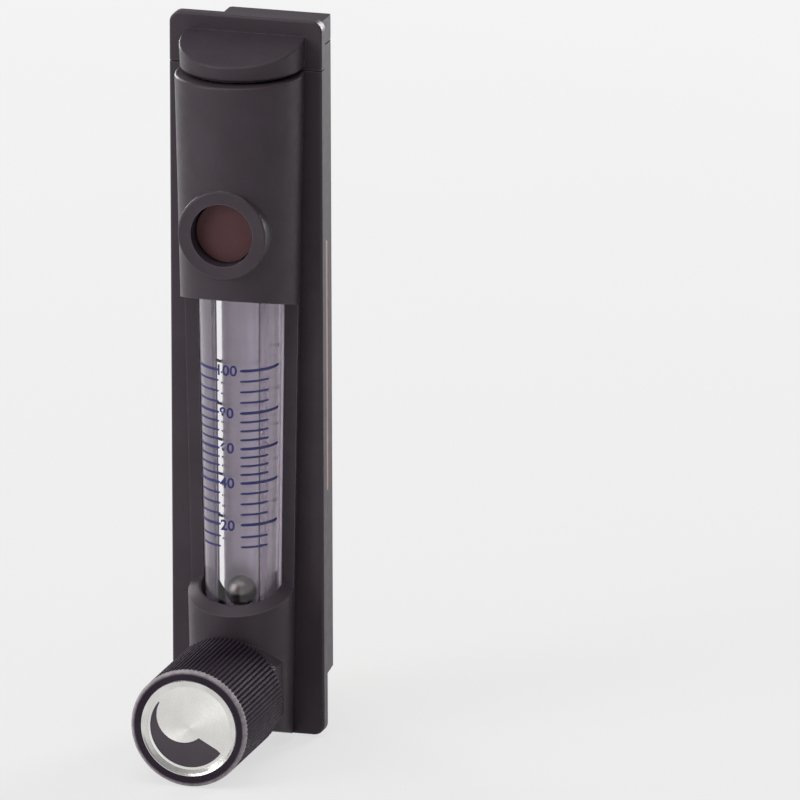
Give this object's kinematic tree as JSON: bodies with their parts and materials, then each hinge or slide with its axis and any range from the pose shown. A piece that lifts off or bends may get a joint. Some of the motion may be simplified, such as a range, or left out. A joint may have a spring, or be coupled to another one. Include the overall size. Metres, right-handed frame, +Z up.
{
  "type": "rotameter",
  "caption": "Panel-mount rotameter: black moulded housing with a clear tapered flow tube, ball float, blanking plug, lift-off end cap and knurled needle-valve knob.",
  "frame": {"origin": "centre of the bezel's back face, which rests on the panel", "axes": "+X right as seen from the front, +Y backwards into the panel, so the front faces -Y, +Z up along the flow tube"},
  "size_m": [0.033, 0.072, 0.1543],
  "materials": {
    "black_moulding": "satin black moulding",
    "block_plastic": "dark machined plastic",
    "clear_tube": "clear polished plastic",
    "white_backing": "white matt plastic",
    "seal_rubber": "black rubber",
    "stop_plastic": "white plastic",
    "ball_steel": "polished ball",
    "brass": "turned brass",
    "seat_plastic": "white plastic",
    "stem_steel": "turned stainless steel",
    "knob_plastic": "black moulding",
    "spun_aluminium": "spun aluminium",
    "red_disc": "red-brown plastic"
  },
  "bodies": {
    "frame": {"housing": "black_moulding", "lower_block": "block_plastic", "upper_block": "block_plastic", "flow_tube": "clear_tube", "scale_backing": "white_backing", "lower_tube_gasket": "seal_rubber", "upper_tube_gasket": "seal_rubber", "lower_float_stop": "stop_plastic", "upper_float_stop": "stop_plastic", "inlet_fitting": "brass", "outlet_fitting": "brass", "inlet_seal": "seal_rubber", "outlet_seal": "seal_rubber", "valve_bonnet": "brass", "bonnet_seal": "seal_rubber", "valve_seat": "seat_plastic", "gland_nut": "brass", "stem_packing": "seal_rubber", "blanking_plug": "block_plastic", "plug_disc": "red_disc", "plug_seal": "seal_rubber"},
    "float": {"float_ball": "ball_steel"},
    "cap": {"end_cap": "black_moulding"},
    "needle": {"valve_needle": "stem_steel", "needle_seal": "seal_rubber"},
    "knob_set": {"valve_stem": "stem_steel", "knob": "knob_plastic", "knob_insert": "brass", "knob_set_screw": "stem_steel", "knob_inlay": "spun_aluminium"}
  },
  "joints": [
    {"name": "float_rise", "type": "slide", "parent": "frame", "child": "float", "axis": [0, 0, 1], "range_m": [0, 0.0645]},
    {"name": "cap_lift", "type": "slide", "parent": "frame", "child": "cap", "axis": [0, 0, 1], "range_m": [0, 0.012]},
    {"name": "needle_lift", "type": "slide", "parent": "frame", "child": "needle", "axis": [0, -1, 0], "range_m": [0, 0.00225]},
    {"name": "knob_turn", "type": "hinge", "parent": "needle", "child": "knob_set", "pos_m": [0, -0.03, -0.0648], "axis": [0, -1, 0], "range_deg": [0, 1440]}
  ],
  "couplings": [
    {"joint": "needle_lift", "follows": "knob_turn", "m_per_rad": 0.00007957}
  ]
}
